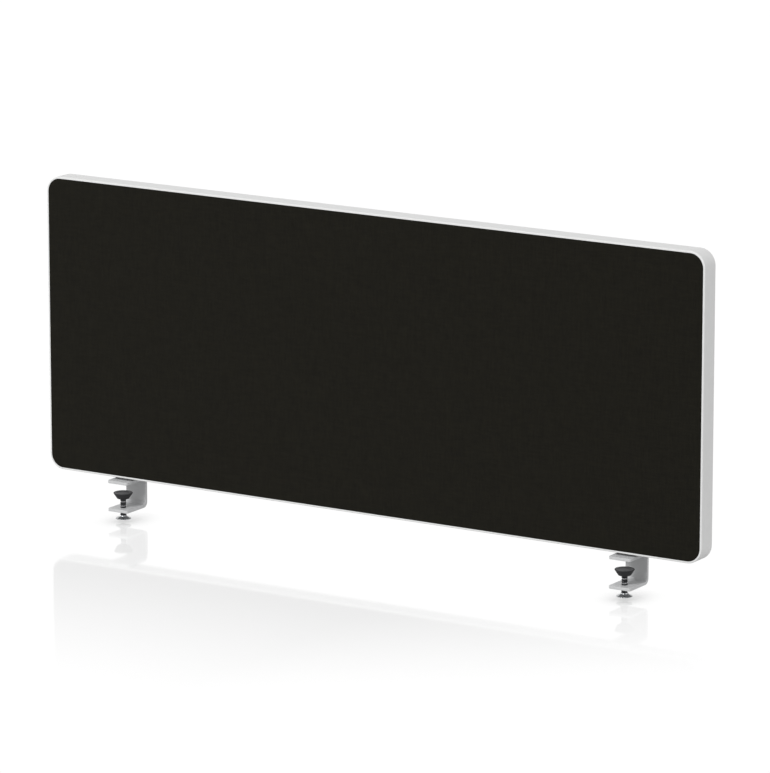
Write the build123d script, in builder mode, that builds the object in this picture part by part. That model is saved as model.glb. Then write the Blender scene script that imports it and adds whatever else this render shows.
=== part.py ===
"""Desk privacy panel: a fabric-faced screen that two C-shaped clamps hold on the back edge of a desk.

Frame, in millimetres: +X along the panel, +Y from the user towards the back, +Z up.
The origin is at the panel's mid-width, on the upper edge of the desk top that the clamps grip:
the desk top's upper surface is z = 0, and its back edge face is y = 0.
"""

from build123d import *
import os

# The screen
panel_width = 1000.0
panel_height = 400.0
panel_thickness = 28.0
panel_corner_radius = 21.0
panel_back = -8.5  # the desk edge stands this far behind the panel's back face

# Edge trim: a T-shaped moulding, its cap round the outside and its barbed tongue in the core's slot
trim_cap = 2.5
trim_edge_radius = 1.2
tongue_thickness = 1.8
tongue_depth = 8.0
barb_thickness = 2.4
barb_length = 0.8
barb_depths = (2.0, 4.5, 6.6)
butt_joint_gap = 0.2

# Layers inside the trim, from the middle outwards
core_thickness = 18.0
foam_thickness = 4.4
fabric_thickness = 0.5
fabric_edge_radius = 0.7
slot_width = 2.6
slot_depth = 9.0

# Clamp bracket: flat bar bent into a C that opens towards the user
clamp_offset = 386.0  # from the panel's mid-width to each clamp's middle
bar_width = 32.0
bar_thickness = 4.0
bar_edge_radius = 0.7
flange_depth = 48.0
jaw_height = 34.5
bend_radius = 8.0  # outside of the bend
flange_corner_radius = 3.0

# Spacer between the bracket's top flange and the panel's underside
spacer_thickness = 3.5
spacer_width = 27.0
spacer_depth = 10.0
spacer_corner_radius = 2.0

# M5 countersunk fixing screws and the brass inserts that take them
screw_spacing = 16.0
screw_radius = 2.5
screw_length = 20.0
screw_head_radius = 4.9
screw_socket_depth = 2.0
screw_socket_radius = 1.75
screw_clearance_radius = 2.75
countersink_radius = 5.1
insert_radius = 3.8
insert_rib_radius = 4.0
insert_bore_radius = 2.55
insert_length = 12.0
insert_rib_length = 2.0
insert_rib_places = (1.0, 5.0, 9.0)

# M8 clamp screw: the rod, its knob below and its swivelling pad above
rod_y = -30.0
rod_radius = 4.0
thread_clearance = 0.05
rod_low = -48.2
pivot_radius = 3.0
groove_radius = 2.5
pivot_top = -16.3
rod_chamfer = 0.5

pad_top = -13.5
pad_low = -23.0
cup_rim_radius = 13.0
cup_waist_radius = 8.3
cup_waist_height = -21.3
cup_neck_radius = 5.4
face_radius = 11.9
face_thickness = 2.0
face_flat_radius = 9.0
dish_depth = 0.8
clip_recess_radius = 7.5
clip_recess_floor = -18.0
thrust_face = -20.0
fit_gap = 0.1

clip_radius = 5.5
clip_thickness = 0.7
clip_mouth = 4.0

knob_top = -43.8
knob_low = -49.5
knob_neck_radius = 4.8
knob_neck_length = 1.2
knob_rim_radius = 10.4
knob_rim_height = 0.7
knob_bore_depth = 4.5
knob_scallops = 16
scallop_radius = 1.1
scallop_depth = 0.45
knob_recess_radius = 6.5
knob_recess_depth = 0.4

# Places worked out from these
flange_top = bar_thickness
bracket_low = -jaw_height - bar_thickness
panel_low = flange_top + spacer_thickness
panel_mid_z = panel_low + panel_height / 2
panel_mid_y = panel_back - panel_thickness / 2
flange_front = bar_thickness - flange_depth
core_front = panel_mid_y - core_thickness / 2
core_back = panel_mid_y + core_thickness / 2


def save(builder, name):
    """Label a finished piece and write its STEP file."""
    builder.part.label = name
    export_step(builder.part, f"parts/{name}.step")


def upright_plane(y):
    """A plane parallel to the panel, facing the user, with its middle at the panel's middle."""
    return Plane(origin=(0, y, panel_mid_z), x_dir=(1, 0, 0), z_dir=(0, -1, 0))


def outline(y, outer_inset, inner_inset=None):
    """The panel's outline drawn in by outer_inset, or the band from there to inner_inset."""
    with BuildSketch(upright_plane(y)) as sketch:
        RectangleRounded(
            panel_width - 2 * outer_inset,
            panel_height - 2 * outer_inset,
            panel_corner_radius - outer_inset,
        )
        if inner_inset is not None:
            RectangleRounded(
                panel_width - 2 * inner_inset,
                panel_height - 2 * inner_inset,
                panel_corner_radius - inner_inset,
                mode=Mode.SUBTRACT,
            )
    return sketch.sketch


def screw_places(clamp_x):
    """The two fixing screws of one clamp, side by side under the panel's mid-thickness."""
    return [
        (clamp_x - screw_spacing / 2, panel_mid_y),
        (clamp_x + screw_spacing / 2, panel_mid_y),
    ]


def section_plane(x, y):
    """A plane through a vertical axis at x, y: local x is the radius and local y is height."""
    return Plane(origin=(x, y, 0), x_dir=(1, 0, 0), z_dir=(0, -1, 0))


def vertical_axis(x, y):
    return Axis((x, y, 0), (0, 0, 1))


all_screw_places = screw_places(-clamp_offset) + screw_places(clamp_offset)


def make_core_board():
    """Chipboard core with the slot for the trim's tongue and four blind holes for the inserts."""
    with BuildPart() as core_board:
        extrude(outline(core_back, trim_cap), amount=core_thickness)
        slot = outline(panel_mid_y + slot_width / 2, trim_cap, trim_cap + slot_depth)
        extrude(slot, amount=slot_width, mode=Mode.SUBTRACT)
        with BuildSketch(Plane.XY.offset(panel_low + trim_cap)):
            with Locations(*all_screw_places):
                Circle(insert_rib_radius)
        extrude(amount=insert_length + 1, mode=Mode.SUBTRACT)
    save(core_board, "core_board")


def make_edge_trim():
    """One length of moulding bent round the board, its ends meeting at the middle of the bottom."""
    with BuildPart() as edge_trim:
        extrude(outline(panel_back, 0, trim_cap), amount=panel_thickness)
        front = edge_trim.faces().sort_by(Axis.Y)[0]
        back = edge_trim.faces().sort_by(Axis.Y)[-1]
        fillet(front.outer_wire().edges() + back.outer_wire().edges(), trim_edge_radius)
        root = trim_cap / 2
        tongue = outline(panel_mid_y + tongue_thickness / 2, root, trim_cap + tongue_depth)
        extrude(tongue, amount=tongue_thickness)
        for depth in barb_depths:
            start = trim_cap + depth
            barb = outline(panel_mid_y + barb_thickness / 2, start, start + barb_length)
            extrude(barb, amount=barb_thickness)
        with BuildSketch(Plane.XY.offset(panel_low)):
            with Locations(*all_screw_places):
                Circle(screw_clearance_radius)
        extrude(amount=trim_cap, mode=Mode.SUBTRACT)
        with BuildSketch(Plane.XY.offset(panel_low + trim_cap)):
            with Locations(*all_screw_places):
                Circle(insert_rib_radius + thread_clearance)
        extrude(amount=tongue_depth + 1, mode=Mode.SUBTRACT)
        with BuildSketch(Plane.XY.offset(panel_low - 1)):
            with Locations((0, panel_mid_y)):
                Rectangle(butt_joint_gap, panel_thickness + 2)
        extrude(amount=trim_cap + tongue_depth + 2, mode=Mode.SUBTRACT)
    save(edge_trim, "edge_trim")


def make_facing(side, board_face, outwards):
    """Foam sheet on one face of the board, and the fabric stretched over it and round its edges."""
    foam_inset = trim_cap + fabric_thickness
    foam_edge_radius = fabric_edge_radius - fabric_thickness
    cover_thickness = foam_thickness + fabric_thickness
    with BuildPart() as foam:
        extrude(outline(board_face, foam_inset), amount=-outwards * foam_thickness)
        outer_face = foam.faces().filter_by(Axis.Y).sort_by(Axis.Y)[0 if outwards < 0 else -1]
        fillet(outer_face.edges(), foam_edge_radius)
    save(foam, f"{side}_foam")

    with BuildPart() as fabric:
        extrude(outline(board_face, trim_cap), amount=-outwards * cover_thickness)
        outer_face = fabric.faces().filter_by(Axis.Y).sort_by(Axis.Y)[0 if outwards < 0 else -1]
        fillet(outer_face.edges(), fabric_edge_radius)
        add(foam.part, mode=Mode.SUBTRACT)
    save(fabric, f"{side}_fabric")


def make_bracket(side, clamp_x):
    """Flat bar bent into a C, two countersunk holes above and one M8 tapped hole below."""
    left_edge = clamp_x - bar_width / 2
    profile_plane = Plane(origin=(left_edge, 0, 0), x_dir=(0, 1, 0), z_dir=(1, 0, 0))
    with BuildPart() as bracket:
        with BuildSketch(profile_plane):
            with BuildLine():
                outside = FilletPolyline(
                    (flange_front, flange_top),
                    (bar_thickness, flange_top),
                    (bar_thickness, bracket_low),
                    (flange_front, bracket_low),
                    radius=bend_radius,
                )
                inside = FilletPolyline(
                    (flange_front, -jaw_height),
                    (0, -jaw_height),
                    (0, 0),
                    (flange_front, 0),
                    radius=bend_radius - bar_thickness,
                )
                Line(outside @ 1, inside @ 0)
                Line(inside @ 1, outside @ 0)
            make_face()
        extrude(amount=bar_width)
        flange_corners = bracket.edges().filter_by(Axis.Z).group_by(Axis.Y)[0]
        fillet(flange_corners, flange_corner_radius)
        long_edges = bracket.edges().filter_by(Axis.Y)
        fillet(long_edges, bar_edge_radius)
        underside = [Plane(origin=(x, y, 0), z_dir=(0, 0, -1)) for x, y in screw_places(clamp_x)]
        with Locations(*underside):
            CounterSinkHole(screw_clearance_radius, countersink_radius, bar_thickness, 90)
        with Locations((clamp_x, rod_y, -jaw_height)):
            Hole(rod_radius + thread_clearance, bar_thickness)
    save(bracket, f"{side}_bracket")


def make_spacer(side, clamp_x):
    """Rubber block that keeps the bracket off the trim, with holes for the two screws."""
    with BuildPart() as spacer:
        with BuildSketch(Plane.XY.offset(flange_top)):
            with Locations((clamp_x, panel_mid_y)):
                RectangleRounded(spacer_width, spacer_depth, spacer_corner_radius)
            with Locations(*screw_places(clamp_x)):
                Circle(screw_clearance_radius, mode=Mode.SUBTRACT)
        extrude(amount=spacer_thickness)
    save(spacer, f"{side}_spacer")


def make_fixing_screws(side, clamp_x):
    """Two countersunk hexagon-socket screws, their heads flush with the flange's underside."""
    cone_height = screw_head_radius - screw_radius
    with BuildPart() as screws:
        for x, y in screw_places(clamp_x):
            with BuildSketch(section_plane(x, y)):
                with BuildLine():
                    Polyline(
                        (0, 0),
                        (screw_head_radius, 0),
                        (screw_radius, cone_height),
                        (screw_radius, screw_length - rod_chamfer),
                        (screw_radius - rod_chamfer, screw_length),
                        (0, screw_length),
                        close=True,
                    )
                make_face()
            revolve(axis=vertical_axis(x, y))
            with BuildSketch(Plane(origin=(x, y, 0))):
                RegularPolygon(screw_socket_radius, 6)
            extrude(amount=screw_socket_depth, mode=Mode.SUBTRACT)
    save(screws, f"{side}_fixing_screws")


def make_threaded_inserts(side, clamp_x):
    """Two ribbed brass inserts pressed into the core board above the trim."""
    insert_low = panel_low + trim_cap
    with BuildPart() as inserts:
        for x, y in screw_places(clamp_x):
            with BuildSketch(Plane(origin=(x, y, insert_low))):
                Circle(insert_radius)
            extrude(amount=insert_length)
            for height in insert_rib_places:
                with BuildSketch(Plane(origin=(x, y, insert_low + height))):
                    Circle(insert_rib_radius)
                extrude(amount=insert_rib_length)
            with BuildSketch(Plane(origin=(x, y, insert_low))):
                Circle(insert_bore_radius)
            extrude(amount=insert_length, mode=Mode.SUBTRACT)
    save(inserts, f"{side}_threaded_inserts")


def make_clamp_rod(side, clamp_x):
    """M8 rod with a turned-down pivot above its shoulder, grooved for the retaining clip."""
    shoulder = thrust_face - fit_gap
    groove_low = clip_recess_floor
    groove_high = groove_low + clip_thickness + 2 * fit_gap
    with BuildPart() as rod:
        with BuildSketch(section_plane(clamp_x, rod_y)):
            with BuildLine():
                Polyline(
                    (0, rod_low),
                    (rod_radius - rod_chamfer, rod_low),
                    (rod_radius, rod_low + rod_chamfer),
                    (rod_radius, shoulder),
                    (pivot_radius, shoulder),
                    (pivot_radius, groove_low),
                    (groove_radius, groove_low),
                    (groove_radius, groove_high),
                    (pivot_radius, groove_high),
                    (pivot_radius, pivot_top - rod_chamfer),
                    (pivot_radius - rod_chamfer, pivot_top),
                    (0, pivot_top),
                    close=True,
                )
            make_face()
        revolve(axis=vertical_axis(clamp_x, rod_y))
    save(rod, f"{side}_clamp_rod")


def make_retaining_clip(side, clamp_x):
    """Open spring clip that snaps into the rod's groove above the cup's inner floor."""
    clip_low = clip_recess_floor + fit_gap
    with BuildPart() as clip:
        with BuildSketch(Plane(origin=(clamp_x, rod_y, clip_low))):
            Circle(clip_radius)
            Circle(groove_radius + thread_clearance, mode=Mode.SUBTRACT)
            with Locations((0, -clip_radius)):
                Rectangle(clip_mouth, 2 * clip_radius, mode=Mode.SUBTRACT)
        extrude(amount=clip_thickness)
    save(clip, f"{side}_retaining_clip")


def make_knob(side, clamp_x):
    """Turned knob: a straight neck that flares into a thin scalloped rim."""
    rim_top = knob_low + knob_rim_height
    neck_low = knob_top - knob_neck_length
    with BuildPart() as knob:
        with BuildSketch(section_plane(clamp_x, rod_y)):
            with BuildLine():
                Polyline(
                    (knob_rim_radius, rim_top),
                    (knob_rim_radius, knob_low),
                    (knob_recess_radius, knob_low),
                    (knob_recess_radius, knob_low + knob_recess_depth),
                    (0, knob_low + knob_recess_depth),
                    (0, knob_top),
                    (knob_neck_radius, knob_top),
                    (knob_neck_radius, neck_low),
                )
                TangentArc(
                    (knob_neck_radius, neck_low),
                    (knob_rim_radius, rim_top),
                    tangent=(0.35, -1),
                )
            make_face()
        revolve(axis=vertical_axis(clamp_x, rod_y))
        with BuildSketch(Plane(origin=(clamp_x, rod_y, knob_low))):
            with PolarLocations(knob_rim_radius + scallop_radius - scallop_depth, knob_scallops):
                Circle(scallop_radius)
        extrude(amount=knob_top - knob_low, mode=Mode.SUBTRACT)
        with BuildSketch(Plane(origin=(clamp_x, rod_y, knob_top))):
            Circle(rod_radius + thread_clearance)
        extrude(amount=-knob_bore_depth, mode=Mode.SUBTRACT)
    save(knob, f"{side}_knob")


def make_pad_cup(side, clamp_x):
    """Bowl-shaped swivel foot, bored for the rod's pivot and recessed for the clip and the face."""
    face_low = pad_top - face_thickness
    with BuildPart() as cup:
        with BuildSketch(section_plane(clamp_x, rod_y)):
            with BuildLine():
                Polyline(
                    (cup_neck_radius, pad_low),
                    (0, pad_low),
                    (0, pad_top - fit_gap),
                    (cup_rim_radius - 0.5, pad_top - fit_gap),
                    (cup_rim_radius, pad_top - 0.7),
                    (cup_waist_radius, cup_waist_height),
                )
                TangentArc(
                    (cup_waist_radius, cup_waist_height),
                    (cup_neck_radius, pad_low),
                    tangent=(-0.54, -0.84),
                )
            make_face()
        revolve(axis=vertical_axis(clamp_x, rod_y))
        for low, radius in (
            (face_low, face_radius + thread_clearance),
            (clip_recess_floor, clip_recess_radius),
            (thrust_face, pivot_radius + thread_clearance),
            (pad_low, rod_radius + thread_clearance),
        ):
            high = thrust_face if low == pad_low else pad_top
            with BuildSketch(Plane(origin=(clamp_x, rod_y, low))):
                Circle(radius)
            extrude(amount=high - low, mode=Mode.SUBTRACT)
    save(cup, f"{side}_pad_cup")


def make_pad_face(side, clamp_x):
    """Rubber disc that meets the desk's underside: a flat rim round a shallow dish."""
    with BuildPart() as face:
        with BuildSketch(section_plane(clamp_x, rod_y)):
            with BuildLine():
                Polyline(
                    (0, pad_top - face_thickness),
                    (face_radius, pad_top - face_thickness),
                    (face_radius, pad_top),
                    (face_flat_radius, pad_top),
                    (face_flat_radius - dish_depth, pad_top - dish_depth),
                    (0, pad_top - dish_depth),
                    close=True,
                )
            make_face()
        revolve(axis=vertical_axis(clamp_x, rod_y))
    save(face, f"{side}_pad_face")


os.makedirs("parts", exist_ok=True)

make_core_board()
make_edge_trim()
make_facing("front", core_front, -1)
make_facing("rear", core_back, 1)

for side, clamp_x in (("left", -clamp_offset), ("right", clamp_offset)):
    make_bracket(side, clamp_x)
    make_spacer(side, clamp_x)
    make_fixing_screws(side, clamp_x)
    make_threaded_inserts(side, clamp_x)
    make_clamp_rod(side, clamp_x)
    make_retaining_clip(side, clamp_x)
    make_knob(side, clamp_x)
    make_pad_cup(side, clamp_x)
    make_pad_face(side, clamp_x)
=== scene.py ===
"""Looks of the desk privacy panel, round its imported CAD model: metres, in the CAD frame."""

import bmesh
import bpy
import math
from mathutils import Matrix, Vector, noise


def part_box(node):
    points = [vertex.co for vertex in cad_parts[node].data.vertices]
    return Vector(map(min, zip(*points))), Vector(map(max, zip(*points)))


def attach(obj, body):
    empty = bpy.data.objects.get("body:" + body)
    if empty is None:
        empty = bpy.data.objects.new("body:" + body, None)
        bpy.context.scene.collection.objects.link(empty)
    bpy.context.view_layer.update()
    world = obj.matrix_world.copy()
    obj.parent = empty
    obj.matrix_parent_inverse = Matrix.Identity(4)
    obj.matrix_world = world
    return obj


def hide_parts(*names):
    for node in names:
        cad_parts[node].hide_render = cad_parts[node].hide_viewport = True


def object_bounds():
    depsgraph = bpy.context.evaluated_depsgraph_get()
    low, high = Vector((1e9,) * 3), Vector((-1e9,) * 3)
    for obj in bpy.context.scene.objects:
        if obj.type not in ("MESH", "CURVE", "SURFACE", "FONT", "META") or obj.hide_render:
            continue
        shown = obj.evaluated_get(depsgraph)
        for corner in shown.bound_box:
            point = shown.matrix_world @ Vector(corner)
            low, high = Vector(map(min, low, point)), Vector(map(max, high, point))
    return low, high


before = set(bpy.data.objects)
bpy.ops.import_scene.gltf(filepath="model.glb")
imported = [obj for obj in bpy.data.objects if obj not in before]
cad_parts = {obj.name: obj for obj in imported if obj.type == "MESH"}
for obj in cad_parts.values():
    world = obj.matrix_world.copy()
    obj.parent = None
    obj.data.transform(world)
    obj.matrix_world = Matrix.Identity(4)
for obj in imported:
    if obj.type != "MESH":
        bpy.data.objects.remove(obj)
cad_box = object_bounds()

MM = 0.001
SIDES = ("left", "right")

# Facings: cloth over foam, both with rolled edges, in the shallow tray that the edging makes
corner_radius = 18.5 * MM
cloth_clearance = 0.05 * MM
cloth_thickness = 0.45 * MM
cloth_roll_radius = 0.45 * MM
foam_roll_radius = 1.2 * MM
roll_steps = 6
wall_step = 1.1 * MM
edge_dip = 0.05 * MM  # the stretched cloth presses the foam down along its edges
edge_dip_reach = 9 * MM
slack = 0.03 * MM  # how far the cloth wanders from a true plane
slack_scale = 14  # swells of slack for each metre
corner_step = 1.5 * MM
face_step = 6 * MM
weave_pitch = 1.05 * MM
weld_gap = 0.002 * MM

# Clamp screw: a coarse M8 thread with two bare relief grooves
thread_pitch = 1.25 * MM
thread_depth = 0.7 * MM
rows_per_thread = 10
relief_half_width = 0.55 * MM

# Turned pieces
sharp_angle = math.radians(35)
corner_steps = 4
corner_share = 0.45  # the most of a side that one rounded corner takes
rod_steps = 64
foot_steps = 96
knob_steps = 160
knob_scallops = 16

# Studio
camera_azimuth = math.radians(32.06)
camera_elevation = math.radians(12.59)
camera_place = Vector((3.7579, -5.9856, 1.7501))
camera_lens = 259.4
camera_reach = 100
light_aim = Vector((0, 0, 0.2))
floor_gap = 4.7 * MM
floor_reach = 40.0
contact_reach = 38 * MM  # how near a piece has to be for the floor to show its contact shade
contact_shade = 0.45
polish = 0.225  # the floor's mirror share just under the panel
polish_reach = 0.82
even_polish_end = 0.14  # to the right of this the polish fades along the panel too


# --- Materials -------------------------------------------------------------------------------


class Finish:
    """A procedural material: one Principled shader, and short ways to put nodes behind it."""

    def __init__(self, name, **constants):
        self.material = bpy.data.materials.new(name)
        self.material.use_nodes = True
        self.tree = self.material.node_tree
        self.shader = self.tree.nodes["Principled BSDF"]
        for socket, value in constants.items():
            self.shader.inputs[socket.replace("_", " ")].default_value = value
        self.place = self.add("TexCoord").outputs["Object"]

    def add(self, kind, values=(), **properties):
        """A new shader node. values holds its first inputs in order: sockets, numbers or None."""
        node = self.tree.nodes.new("ShaderNode" + kind)
        for key, value in properties.items():
            setattr(node, key, value)
        for socket, value in zip(node.inputs, values):
            self.put(value, socket)
        return node

    def put(self, value, socket):
        """Links a socket, sets a constant, or leaves the default for None."""
        if isinstance(value, bpy.types.NodeSocket):
            self.tree.links.new(value, socket)
        elif value is not None:
            socket.default_value = value

    def compute(self, operation, *values):
        """The result of one Math node."""
        return self.add("Math", values, operation=operation).outputs[0]

    def stretched(self, scale):
        """The place on the piece, stretched by a scale for each axis."""
        return self.add("Mapping", (self.place, None, None, scale)).outputs[0]

    def noise(self, scale, detail=3.0, place=None):
        node = self.add("TexNoise")
        self.put(place or self.place, node.inputs["Vector"])
        node.inputs["Scale"].default_value = scale
        node.inputs["Detail"].default_value = detail
        return node.outputs["Fac"]

    def cells(self, scale, place=None):
        node = self.add("TexVoronoi")
        self.put(place or self.place, node.inputs["Vector"])
        node.inputs["Scale"].default_value = scale
        return node

    def between(self, factor, low, high):
        """A number from low to high as factor goes from 0.3 to 0.7, where most noise lies."""
        return self.add("MapRange", (factor, 0.3, 0.7, low, high)).outputs[0]

    def shade(self, factor, dark, light):
        """A colour between two, by factor."""
        node = self.add("Mix", data_type="RGBA")
        self.put(factor, node.inputs["Factor"])
        for socket, value in zip([s for s in node.inputs if s.type == "RGBA"], (dark, light)):
            socket.default_value = (*value, 1)
        return next(s for s in node.outputs if s.type == "RGBA")

    def colour(self, value):
        self.put(value, self.shader.inputs["Base Color"])

    def roughness(self, value):
        self.put(value, self.shader.inputs["Roughness"])

    def relief(self, *layers):
        """Bump from layers of (height socket, depth in metres)."""
        normal = None
        for height, depth in layers:
            bump = self.add("Bump")
            bump.inputs["Distance"].default_value = depth
            self.put(height, bump.inputs["Height"])
            self.put(normal, bump.inputs["Normal"])
            normal = bump.outputs[0]
        self.put(normal, self.shader.inputs["Normal"])


def weave_height(finish):
    """A plain weave: the thread on top swaps from cell to cell, and each bows over the other."""
    across, _, up = finish.add("SeparateXYZ", (finish.place,)).outputs
    warp = finish.compute("DIVIDE", across, weave_pitch)
    weft = finish.compute("DIVIDE", up, weave_pitch)
    cell = finish.compute("ADD", finish.compute("FLOOR", warp), finish.compute("FLOOR", weft))
    on_top = finish.compute("PINGPONG", cell, 1.0)
    bows = []
    for thread in (warp, weft):
        wave = finish.compute("SINE", finish.compute("MULTIPLY", thread, math.pi))
        bows.append(finish.compute("ABSOLUTE", wave))
    heights = []
    for along, over in (bows, bows[::-1]):
        crown = finish.compute("MULTIPLY_ADD", over, 0.45, 0.55)
        heights.append(finish.compute("MULTIPLY", finish.compute("POWER", along, 0.6), crown))
    height = finish.add("Mix", (on_top, None, heights[0], heights[1]), data_type="FLOAT").outputs[0]
    return height, on_top


def make_cloth_finish():
    """Fine black plain weave with slubbed threads, painted shade in its dips, a little dusty sheen,
    no gloss.
    """
    finish = Finish("black_weave", Sheen_Weight=0.05, Sheen_Roughness=0.45, Specular_IOR_Level=0.12)
    height, on_top = weave_height(finish)
    warp_slubs = finish.noise(1.0, 2.0, finish.stretched((900, 900, 22)))
    weft_slubs = finish.noise(1.0, 2.0, finish.stretched((22, 900, 900)))
    warp_streaks = finish.noise(1.0, 2.0, finish.stretched((620, 620, 70)))
    weft_streaks = finish.noise(1.0, 2.0, finish.stretched((70, 620, 620)))
    warp_tone = finish.between(warp_streaks, -0.34, 0.34)
    streaks = finish.compute("ADD", warp_tone, finish.between(weft_streaks, -0.30, 0.30))
    slubs = finish.add("Mix", (on_top, None, warp_slubs, weft_slubs), data_type="FLOAT").outputs[0]
    tone = finish.compute("ADD", finish.between(slubs, -0.35, 0.35), streaks)
    ground = finish.compute("MULTIPLY_ADD", tone, 0.5, 0.18)
    # painted shade: the weave's height lightens the thread crowns and darkens the dips between
    # threads
    weave_shaded_tone = finish.compute("MULTIPLY_ADD", height, 0.55, ground)
    finish.colour(finish.shade(weave_shaded_tone, (0.0031, 0.0027, 0.0015), (0.0114, 0.0104, 0.0062)))
    finish.roughness(finish.between(slubs, 0.82, 0.96))
    finish.relief((height, 0.16 * MM), (slubs, 0.05 * MM))
    return finish.material


def make_edging_finish():
    """White extruded plastic: satin, faintly mottled, with drawn lines along it and a fine skin."""
    finish = Finish("white_edging", Specular_IOR_Level=0.30, Coat_Weight=0.03, Coat_Roughness=0.25)
    mottle = finish.noise(90.0, 4.0)
    skin = finish.noise(1400.0, 2.0)
    drawn = finish.noise(1.0, 2.0, finish.stretched((6, 1800, 6)))
    finish.colour(finish.shade(mottle, (0.735, 0.737, 0.735), (0.785, 0.785, 0.780)))
    finish.roughness(finish.between(mottle, 0.36, 0.46))
    finish.relief((drawn, 0.010 * MM), (skin, 0.012 * MM))
    return finish.material


def make_powder_coat_finish():
    """Silver-grey powder coat: a fine even grain with darker and lighter specks."""
    finish = Finish("grey_powder_coat")
    grain = finish.cells(1500.0).outputs["Distance"]
    specks = finish.noise(2600.0, 2.0)
    cloud = finish.noise(120.0, 3.0)
    tone = finish.compute("MULTIPLY_ADD", specks, 0.7, finish.compute("MULTIPLY", cloud, 0.3))
    finish.colour(finish.shade(tone, (0.49, 0.495, 0.50), (0.63, 0.635, 0.64)))
    finish.roughness(finish.between(cloud, 0.40, 0.52))
    finish.relief((grain, 0.030 * MM), (finish.noise(500.0, 2.0), 0.020 * MM))
    return finish.material


def make_rubber_finish(name, dark, light, grain=1100.0):
    """Moulded rubber: matt, with a spark-eroded grain and a trace of bloom."""
    finish = Finish(name, Specular_IOR_Level=0.35)
    bloom = finish.noise(160.0, 4.0)
    finish.colour(finish.shade(bloom, dark, light))
    finish.roughness(finish.between(bloom, 0.55, 0.74))
    finish.relief((finish.noise(grain, 3.0), 0.04 * MM))
    return finish.material


def make_metal_finish(name, dark, light, roughness):
    """Metal with fine lines round it from turning, plating clouds and uneven polish."""
    finish = Finish(name, Metallic=1.0)
    clouds = finish.noise(210.0, 4.0)
    turned = finish.noise(1.0, 2.0, finish.stretched((60, 60, 5200)))
    finish.colour(finish.shade(clouds, dark, light))
    finish.roughness(finish.between(clouds, roughness * 0.8, roughness * 1.25))
    finish.relief((turned, 0.012 * MM))
    return finish.material


def make_chipboard_finish():
    """Pressed wood chips of several browns, lying flat in the board."""
    finish = Finish("chipboard", Specular_IOR_Level=0.2)
    chips = finish.cells(230.0, finish.stretched((1.0, 3.2, 1.0)))
    grain = finish.noise(1.0, 3.0, finish.stretched((90, 2400, 1400)))
    tint = finish.add("SeparateColor", (chips.outputs["Color"],)).outputs[0]
    mix = finish.compute("MULTIPLY_ADD", grain, 0.35, finish.compute("MULTIPLY", tint, 0.7))
    finish.colour(finish.shade(mix, (0.30, 0.19, 0.10), (0.70, 0.54, 0.35)))
    finish.roughness(finish.between(grain, 0.78, 0.95))
    finish.relief((chips.outputs["Distance"], 0.25 * MM), (grain, 0.10 * MM))
    return finish.material


def make_foam_finish():
    """Dark grey foam: open pores, painted darker as shade in their pits, over a felted ground."""
    finish = Finish("grey_foam", Specular_IOR_Level=0.15)
    pores = finish.cells(950.0).outputs["Distance"]
    ground = finish.noise(260.0, 4.0)
    # painted shade: the pores' pits are darker towards their middles
    tone = finish.compute("MULTIPLY_ADD", ground, 0.6, finish.compute("MULTIPLY", pores, 0.6))
    finish.colour(finish.shade(tone, (0.045, 0.045, 0.05), (0.15, 0.15, 0.16)))
    finish.roughness(finish.between(ground, 0.88, 0.99))
    finish.relief((pores, 0.35 * MM), (ground, 0.20 * MM))
    return finish.material


cloth_finish = make_cloth_finish()
edging_finish = make_edging_finish()
powder_coat_finish = make_powder_coat_finish()
chipboard_finish = make_chipboard_finish()
foam_finish = make_foam_finish()
spacer_finish = make_rubber_finish("grey_rubber", (0.15, 0.15, 0.155), (0.24, 0.24, 0.245))
face_finish = make_rubber_finish("pad_rubber", (0.07, 0.07, 0.073), (0.12, 0.12, 0.124))
cup_finish = make_rubber_finish(
    "black_plastic", (0.014, 0.014, 0.015), (0.026, 0.026, 0.028), grain=700.0
)
zinc_finish = make_metal_finish("zinc_steel", (0.52, 0.54, 0.56), (0.68, 0.69, 0.70), 0.30)
brass_finish = make_metal_finish("brass", (0.62, 0.44, 0.16), (0.80, 0.62, 0.30), 0.26)
oxide_finish = make_metal_finish(
    "black_oxide_steel", (0.05, 0.05, 0.053), (0.10, 0.10, 0.104), 0.34
)
spring_finish = make_metal_finish("spring_steel", (0.20, 0.20, 0.21), (0.32, 0.32, 0.33), 0.38)
knob_finish = make_metal_finish("dark_chrome", (0.39, 0.40, 0.41), (0.50, 0.51, 0.52), 0.15)
bare_finish = make_metal_finish("bare_steel", (0.32, 0.32, 0.33), (0.42, 0.42, 0.43), 0.36)


# --- Pieces ----------------------------------------------------------------------------------


def make_piece(name, points, faces, material):
    """A smooth-shaded mesh with its sharp edges kept."""
    mesh = bpy.data.meshes.new(name)
    mesh.from_pydata(points, [], faces)
    mesh.materials.append(material)
    mesh.polygons.foreach_set("use_smooth", [True] * len(faces))
    mesh.set_sharp_from_angle(angle=sharp_angle)
    piece = bpy.data.objects.new(name, mesh)
    bpy.context.scene.collection.objects.link(piece)
    return piece


def place_piece(piece, body, node):
    """The piece stands for a CAD node: it rides on that node's body, and the node is hidden."""
    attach(piece, body)
    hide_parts(node)


def spaced(first, last, step):
    """Evenly spaced values from first to last, both included."""
    count = max(1, round(abs(last - first) / step))
    return [first + (last - first) * i / count for i in range(count + 1)]


def edge_profile(inset, depth, radius):
    """Up the tray's wall and round the roll, as (distance in from the wall, distance down)."""
    wall = [(inset, low) for low in spaced(depth, radius, wall_step)]
    roll = []
    for step in range(1, roll_steps + 1):
        turn = math.pi / 2 * step / roll_steps
        roll.append((inset + radius * (1 - math.cos(turn)), radius * (1 - math.sin(turn))))
    return wall + roll


def grid_lines(profile, half_length):
    """Where grid lines lie in one direction: the profile's, even ones, then the mirrored ones."""
    insets = [inset for inset, _ in profile]
    insets += spaced(insets[-1], corner_radius, corner_step)[1:]
    half = [inset - half_length for inset in insets]
    middle = spaced(half[-1], -half[-1], face_step)[1:-1]
    return half + middle + [-value for value in reversed(half)]


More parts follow.
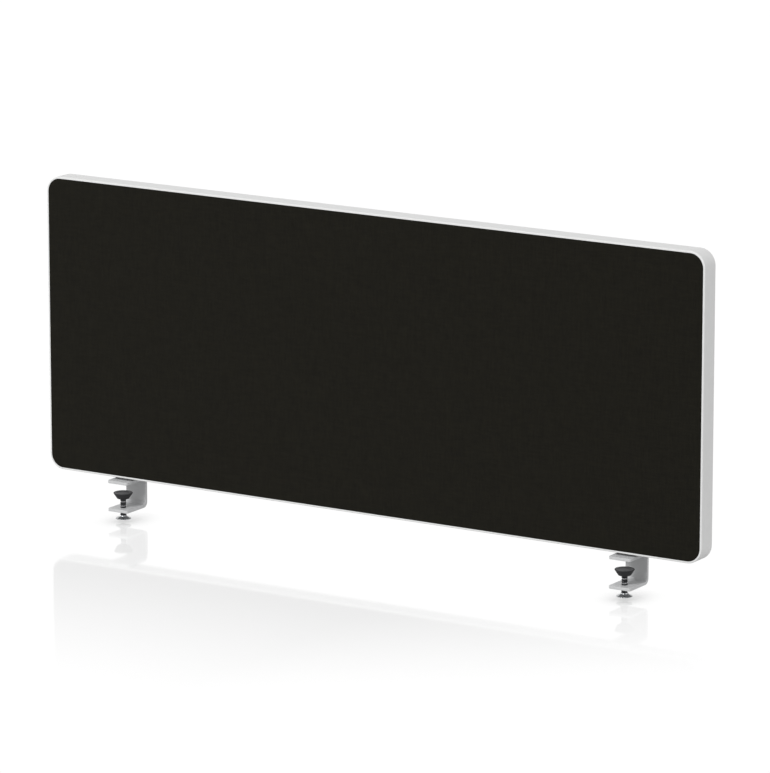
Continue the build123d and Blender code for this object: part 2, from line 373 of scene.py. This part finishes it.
def round_corner(x, z, half_width, half_height):
    """Moves a grid point so that the grid's square corners become the tray's round ones."""
    out_x = max(0.0, abs(x) - (half_width - corner_radius))
    out_z = max(0.0, abs(z) - (half_height - corner_radius))
    if out_x == 0.0 or out_z == 0.0:
        return x, z
    shrink = max(out_x, out_z) / math.hypot(out_x, out_z)
    new_x = half_width - corner_radius + out_x * shrink
    new_z = half_height - corner_radius + out_z * shrink
    return math.copysign(new_x, x), math.copysign(new_z, z)


def facing_points(lo, hi, outwards, profile):
    """A grid over a facing: up the tray's wall, round the roll and over the face."""
    half_width = (hi.x - lo.x) / 2
    half_height = (hi.z - lo.z) / 2
    middle = (lo + hi) / 2
    face_y = hi.y if outwards > 0 else lo.y
    columns = grid_lines(profile, half_width)
    rows = grid_lines(profile, half_height)
    points = []
    for j, row in enumerate(rows):
        for i, column in enumerate(columns):
            ring = min(i, len(columns) - 1 - i, j, len(rows) - 1 - j)
            x, z = round_corner(column, row, half_width, half_height)
            inset = min(half_width - abs(column), half_height - abs(row))
            down = profile[ring][1] if ring < len(profile) else 0.0
            down += edge_dip * math.exp(-inset / edge_dip_reach)
            down += slack * noise.noise(Vector((x * slack_scale, z * slack_scale, outwards)))
            points.append((middle.x + x, face_y - outwards * down, middle.z + z))
    return points, len(columns), len(rows)


def grid_faces(columns, rows, outwards):
    faces = []
    for j in range(rows - 1):
        for i in range(columns - 1):
            corner = j * columns + i
            face = (corner, corner + 1, corner + columns + 1, corner + columns)
            faces.append(face if outwards < 0 else face[::-1])
    return faces


def weld(piece):
    """Joins points that lie on each other and drops the faces that this leaves empty."""
    shape = bmesh.new()
    shape.from_mesh(piece.data)
    bmesh.ops.remove_doubles(shape, verts=shape.verts, dist=weld_gap)
    bmesh.ops.dissolve_degenerate(shape, edges=shape.edges, dist=weld_gap)
    shape.to_mesh(piece.data)
    shape.free()


def make_cloth(side, outwards):
    """The fabric of one face, stretched over the foam and turned down against the edging."""
    node = f"{side}_fabric"
    lo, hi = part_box(node)
    depth = hi.y - lo.y - cloth_clearance
    profile = edge_profile(cloth_clearance, depth, cloth_roll_radius)
    points, columns, rows = facing_points(lo, hi, outwards, profile)
    faces = grid_faces(columns, rows, outwards)
    cloth = make_piece(f"{side}_cloth", points, faces, cloth_finish)
    weld(cloth)
    thickness = cloth.modifiers.new("thickness", "SOLIDIFY")
    thickness.thickness = cloth_thickness
    thickness.offset = -1
    place_piece(cloth, "root", node)


def make_padding(side, outwards):
    """The foam sheet under one face: soft-edged, and pressed down a little along its edges."""
    node = f"{side}_foam"
    lo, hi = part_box(node)
    profile = edge_profile(cloth_clearance, hi.y - lo.y - cloth_clearance, foam_roll_radius)
    points, columns, rows = facing_points(lo, hi, outwards, profile)
    faces = grid_faces(columns, rows, outwards)
    rim = list(range(columns))
    rim += [j * columns + columns - 1 for j in range(1, rows)]
    rim += [(rows - 1) * columns + i for i in range(columns - 2, -1, -1)]
    rim += [j * columns for j in range(rows - 2, 0, -1)]
    faces.append(tuple(rim[::-1] if outwards < 0 else rim))
    padding = make_piece(f"{side}_padding", points, faces, foam_finish)
    weld(padding)
    place_piece(padding, "root", node)


def softened(profile, reach, closed=False):
    """A profile with each corner replaced by a short curve that starts up to reach before it."""
    points = []
    count = len(profile)
    for index, corner in enumerate(profile):
        if not closed and index in (0, count - 1):
            points.append(corner)
            continue
        here = Vector(corner)
        ends = []
        for other in (profile[index - 1], profile[(index + 1) % count]):
            away = Vector(other) - here
            ends.append(here + away.normalized() * min(reach, away.length * corner_share))
        for step in range(corner_steps + 1):
            share = step / corner_steps
            first = ends[0].lerp(here, share)
            second = here.lerp(ends[1], share)
            points.append(tuple(first.lerp(second, share)))
    return points


def make_turned(name, profile, axis, material, steps, shape=None, closed=False):
    """A piece turned about a vertical axis.

    profile holds (radius, height) points, and shape may change a radius by height and angle.
    """
    rings = []
    points = []
    for radius, height in profile:
        ring = []
        for step in range(steps if radius > 0 else 1):
            angle = 2 * math.pi * step / steps
            reach = shape(radius, height, angle) if shape else radius
            ring.append(len(points))
            x, y = axis.x + reach * math.cos(angle), axis.y + reach * math.sin(angle)
            points.append((x, y, height))
        rings.append(ring)
    faces = []
    pairs = list(zip(rings, rings[1:]))
    if closed:
        pairs.append((rings[-1], rings[0]))
    for low, high in pairs:
        for step in range(steps):
            after = (step + 1) % steps
            if len(low) == 1:
                faces.append((low[0], high[after], high[step]))
            elif len(high) == 1:
                faces.append((low[step], low[after], high[0]))
            else:
                faces.append((low[step], low[after], high[after], high[step]))
    return make_piece(name, points, faces, material)


def clamp_axis(side):
    """The clamp screw's axis, from the box of its rod."""
    lo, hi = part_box(f"{side}_clamp_rod")
    return Vector(((lo.x + hi.x) / 2, (lo.y + hi.y) / 2))


def make_rod(side):
    """The clamp rod: a helical thread broken by two relief grooves, then a pivot with a groove."""
    lo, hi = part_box(f"{side}_clamp_rod")
    cup_lo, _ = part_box(f"{side}_pad_cup")
    clip_lo, clip_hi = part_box(f"{side}_retaining_clip")
    radius = (hi.x - lo.x) / 2
    tip = radius - 0.6 * MM
    pivot = 3.0 * MM
    groove = 2.5 * MM
    groove_low = clip_lo.z - 0.1 * MM
    groove_high = clip_hi.z + 0.1 * MM
    chamfer = 0.4 * MM
    shoulder = hi.z - 3.8 * MM
    thread_start = lo.z + 0.5 * MM
    thread_top = cup_lo.z + 1.0 * MM
    reliefs = (cup_lo.z - 3.0 * MM, cup_lo.z - 8.9 * MM)

    def threaded(reach, height, angle):
        if reach < radius or height > thread_top:
            return reach
        turn = (height / thread_pitch - angle / (2 * math.pi)) % 1.0
        cut = min(1.0, max(0.0, 2.7 * abs(turn - 0.5) - 0.3))  # flat crest, sloping flanks
        start = (height - lo.z) / (0.8 * thread_pitch)
        end = (thread_top - height) / thread_pitch
        depth = thread_depth * cut * max(0.0, min(1.0, start, end))
        if min(abs(height - relief) for relief in reliefs) < relief_half_width:
            depth = thread_depth
        return radius - depth

    profile = [(0, lo.z), (tip, lo.z)]
    row = thread_pitch / rows_per_thread
    profile += [(radius, z) for z in spaced(thread_start, thread_top, row)]
    profile += [(radius, shoulder), (pivot, shoulder)]
    profile += [(pivot, groove_low), (groove, groove_low)]
    profile += [(groove, groove_high), (pivot, groove_high)]
    profile += [(pivot, hi.z - chamfer), (pivot - chamfer, hi.z), (0, hi.z)]
    name = f"{side}_threaded_rod"
    rod = make_turned(name, profile, clamp_axis(side), oxide_finish, rod_steps, threaded)
    rod.data.materials.append(bare_finish)
    for face in rod.data.polygons:
        if min(abs(face.center.z - relief) for relief in reliefs) < relief_half_width * 1.2:
            face.material_index = 1
    place_piece(rod, f"{side}_screw", f"{side}_clamp_rod")


def make_knob(side):
    """The knob: a short leaning collar that flares into a thin scalloped rim, bored for the rod."""
    lo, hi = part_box(f"{side}_knob")
    rim = (hi.x - lo.x) / 2
    rim_top = lo.z + 0.7 * MM
    neck = 4.8 * MM
    top = hi.z - 0.4 * MM
    neck_low = top - 0.9 * MM
    bore = 4.05 * MM
    bore_bottom = hi.z - 4.5 * MM
    bore_edge = bore + 0.25 * MM
    hollow = 6.5 * MM
    hollow_wall = 0.3 * MM
    hollow_top = lo.z + 0.4 * MM
    scallop_start = 0.75 * rim
    scallop_depth = 0.45 * MM
    flare_power = 1.7
    flare_steps = 9
    edge_softness = 0.18 * MM

    def scalloped(reach, height, angle):
        share = max(0.0, (reach - scallop_start) / (rim - scallop_start))
        wave = (0.5 + 0.5 * math.cos(knob_scallops * angle)) ** 3
        return reach - scallop_depth * share * wave

    flare = []
    for step in range(1, flare_steps + 1):
        share = step / flare_steps
        bulge = share ** flare_power
        flare.append((neck + (rim - neck) * bulge, neck_low + (rim_top - neck_low) * share))
    profile = [(0, bore_bottom), (bore, bore_bottom), (bore, top), (bore_edge, top)]
    profile += [(neck, neck_low)] + flare
    profile += [(rim, lo.z), (hollow, lo.z), (hollow - hollow_wall, hollow_top), (0, hollow_top)]
    profile = softened(profile[::-1], edge_softness)
    name = f"{side}_turned_knob"
    knob = make_turned(name, profile, clamp_axis(side), knob_finish, knob_steps, scalloped)
    place_piece(knob, f"{side}_screw", f"{side}_knob")


def make_cup(side):
    """The swivel foot: a straight-sided bowl, curved in to its neck, with a seat for the face."""
    lo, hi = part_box(f"{side}_pad_cup")
    rim = (hi.x - lo.x) / 2
    rim_low = hi.z - 0.7 * MM
    rim_roll = 0.5 * MM
    waist = 8.6 * MM
    waist_z = lo.z + 2.1 * MM
    neck = 5.4 * MM
    neck_z = lo.z + 0.8 * MM
    neck_steps = 6
    collar = 4.6 * MM
    rod_bore = 4.05 * MM
    rod_bore_top = lo.z + 3.0 * MM
    pivot_bore = 3.05 * MM
    clip_well = 7.5 * MM
    clip_well_floor = lo.z + 5.0 * MM
    face_seat = 11.95 * MM
    face_seat_floor = lo.z + 7.5 * MM
    edge_softness = 0.22 * MM
    outside = [(collar, lo.z), (collar, neck_z)]
    for step in range(neck_steps + 1):
        turn = math.pi / 2 * step / neck_steps
        height = waist_z - (waist_z - neck_z) * math.cos(turn)
        outside.append((neck + (waist - neck) * math.sin(turn), height))
    outside += [(rim, rim_low), (rim - rim_roll, hi.z), (face_seat, hi.z)]
    inside = [(face_seat, face_seat_floor), (clip_well, face_seat_floor)]
    inside += [(clip_well, clip_well_floor), (pivot_bore, clip_well_floor)]
    inside += [(pivot_bore, rod_bore_top), (rod_bore, rod_bore_top), (rod_bore, lo.z)]
    profile = softened(outside + inside, edge_softness, closed=True)
    name = f"{side}_swivel_foot"
    cup = make_turned(name, profile, clamp_axis(side), cup_finish, foot_steps, closed=True)
    place_piece(cup, f"{side}_pad", f"{side}_pad_cup")


def make_face(side):
    """The rubber face: a flat rim with two fine grip grooves round a shallow dish."""
    lo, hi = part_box(f"{side}_pad_face")
    rim = (hi.x - lo.x) / 2
    dish = 9.0 * MM
    dish_depth = 0.8 * MM
    dish_z = hi.z - dish_depth
    groove_width = 0.5 * MM
    groove_z = hi.z - 0.2 * MM
    edge_softness = 0.12 * MM
    profile = [(0, lo.z), (rim, lo.z), (rim, hi.z)]
    for outer in (11.2 * MM, 10.2 * MM):
        profile += [(outer, hi.z), (outer - groove_width / 2, groove_z)]
        profile.append((outer - groove_width, hi.z))
    profile += [(dish, hi.z), (dish - dish_depth, dish_z), (0, dish_z)]
    profile = softened(profile, edge_softness)
    face = make_turned(f"{side}_rubber_face", profile, clamp_axis(side), face_finish, foot_steps)
    place_piece(face, f"{side}_pad", f"{side}_pad_face")


for side, outwards in (("front", -1), ("rear", 1)):
    make_padding(side, outwards)
    make_cloth(side, outwards)

for side in SIDES:
    make_rod(side)
    make_knob(side)
    make_cup(side)
    make_face(side)


# --- Finishes of the CAD pieces that stay ----------------------------------------------------


def dress(node, material):
    """Gives a CAD node its material."""
    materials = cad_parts[node].data.materials
    materials.clear()
    materials.append(material)


dress("core_board", chipboard_finish)
dress("edge_trim", edging_finish)
for side in SIDES:
    dress(f"{side}_bracket", powder_coat_finish)
    dress(f"{side}_spacer", spacer_finish)
    dress(f"{side}_fixing_screws", zinc_finish)
    dress(f"{side}_threaded_inserts", brass_finish)
    dress(f"{side}_retaining_clip", spring_finish)


# --- Studio ----------------------------------------------------------------------------------


def make_camera():
    """A long lens from the front right, a little above."""
    back = Vector((
        math.sin(camera_azimuth) * math.cos(camera_elevation),
        -math.cos(camera_azimuth) * math.cos(camera_elevation),
        math.sin(camera_elevation),
    ))
    camera = bpy.data.objects.new("camera", bpy.data.cameras.new("camera"))
    camera.data.lens = camera_lens
    camera.data.clip_end = camera_reach
    camera.location = camera_place
    camera.rotation_mode = "QUATERNION"
    camera.rotation_quaternion = (-back).to_track_quat("-Z", "Y")
    bpy.context.scene.collection.objects.link(camera)
    bpy.context.scene.camera = camera


def make_surroundings(light, mirrored, seen):
    """Even white all round, as bright as given on matt surfaces, in mirrors and to the camera."""
    world = bpy.data.worlds.new("surroundings")
    world.use_nodes = True
    nodes, links = world.node_tree.nodes, world.node_tree.links
    background = nodes["Background"]
    background.inputs["Color"].default_value = (1, 1, 1, 1)
    path = nodes.new("ShaderNodeLightPath")
    total = None
    for ray, extra in (("Is Glossy Ray", mirrored - light), ("Is Camera Ray", seen - light)):
        part = nodes.new("ShaderNodeMath")
        part.operation = "MULTIPLY_ADD"
        part.inputs[1].default_value = extra
        part.inputs[2].default_value = light
        links.new(path.outputs[ray], part.inputs[0])
        if total:
            links.new(total, part.inputs[2])
        total = part.outputs[0]
    links.new(total, background.inputs["Strength"])
    bpy.context.scene.world = world


def make_softbox(name, place, size, power):
    """A square area light pointed at the middle of the panel."""
    lamp = bpy.data.lights.new(name, "AREA")
    lamp.size = size
    lamp.energy = power
    softbox = bpy.data.objects.new(name, lamp)
    softbox.location = place
    softbox.rotation_euler = (light_aim - Vector(place)).to_track_quat("-Z", "Y").to_euler()
    bpy.context.scene.collection.objects.link(softbox)


def make_floor():
    """A white floor just under the knobs, with a soft polish that fades away from the panel.

    The camera sees the white surroundings through it, dimmed where a piece is close above, so a
    screw wound down past it still shows. Other rays meet white paper with a faint glow.
    """
    height = cad_box[0].z - floor_gap
    corners = [(-1, -1), (1, -1), (1, 1), (-1, 1)]
    points = [(x * floor_reach, y * floor_reach, height) for x, y in corners]
    finish = Finish("pale_floor")
    white = (1, 1, 1, 1)

    paper = finish.add("BsdfDiffuse", ((0.9, 0.9, 0.9, 1),)).outputs[0]
    glow = finish.add("Emission", (white, 0.20)).outputs[0]
    body = finish.add("MixShader", (0.62, paper, glow)).outputs[0]

    openness = finish.add("AmbientOcclusion", (None, contact_reach), samples=4).outputs["AO"]
    dimming = finish.add("MapRange", (openness, 0.0, 1.0, contact_shade, 1.0)).outputs[0]
    dimmed = finish.add("BsdfTransparent", (dimming,)).outputs[0]
    from_camera = finish.add("LightPath").outputs["Is Camera Ray"]
    ground = finish.add("MixShader", (from_camera, body, dimmed)).outputs[0]

    along, across, _ = finish.add("SeparateXYZ", (finish.place,)).outputs
    rightwards = finish.compute("MAXIMUM", finish.compute("SUBTRACT", along, even_polish_end), 0.0)
    away = finish.compute("MULTIPLY_ADD", rightwards, 0.8, finish.compute("ABSOLUTE", across))
    fade_range = (away, 0.0, polish_reach, polish, 0.0)
    fade = finish.add("MapRange", fade_range, interpolation_type="SMOOTHSTEP").outputs[0]
    mirror = finish.add("BsdfGlossy", (white, 0.06)).outputs[0]
    surface = finish.add("MixShader", (fade, ground, mirror)).outputs[0]

    underside = finish.add("NewGeometry").outputs["Backfacing"]
    clear = finish.add("BsdfTransparent").outputs[0]
    both = finish.add("MixShader", (underside, surface, clear)).outputs[0]
    finish.tree.links.new(both, finish.tree.nodes["Material Output"].inputs["Surface"])
    floor = make_piece("floor", points, [(0, 1, 2, 3)], finish.material)


make_camera()
make_surroundings(light=0.43, mirrored=1.0, seen=1.02)
make_softbox("key", (-0.69, -4.92, 3.55), size=2.0, power=222)
make_softbox("left_fill", (-5.5, -0.3, 0.5), size=4.0, power=120)
make_softbox("right_fill", (5.5, -0.3, 0.8), size=4.0, power=122)
make_floor()
bpy.context.scene.view_settings.view_transform = "Standard"
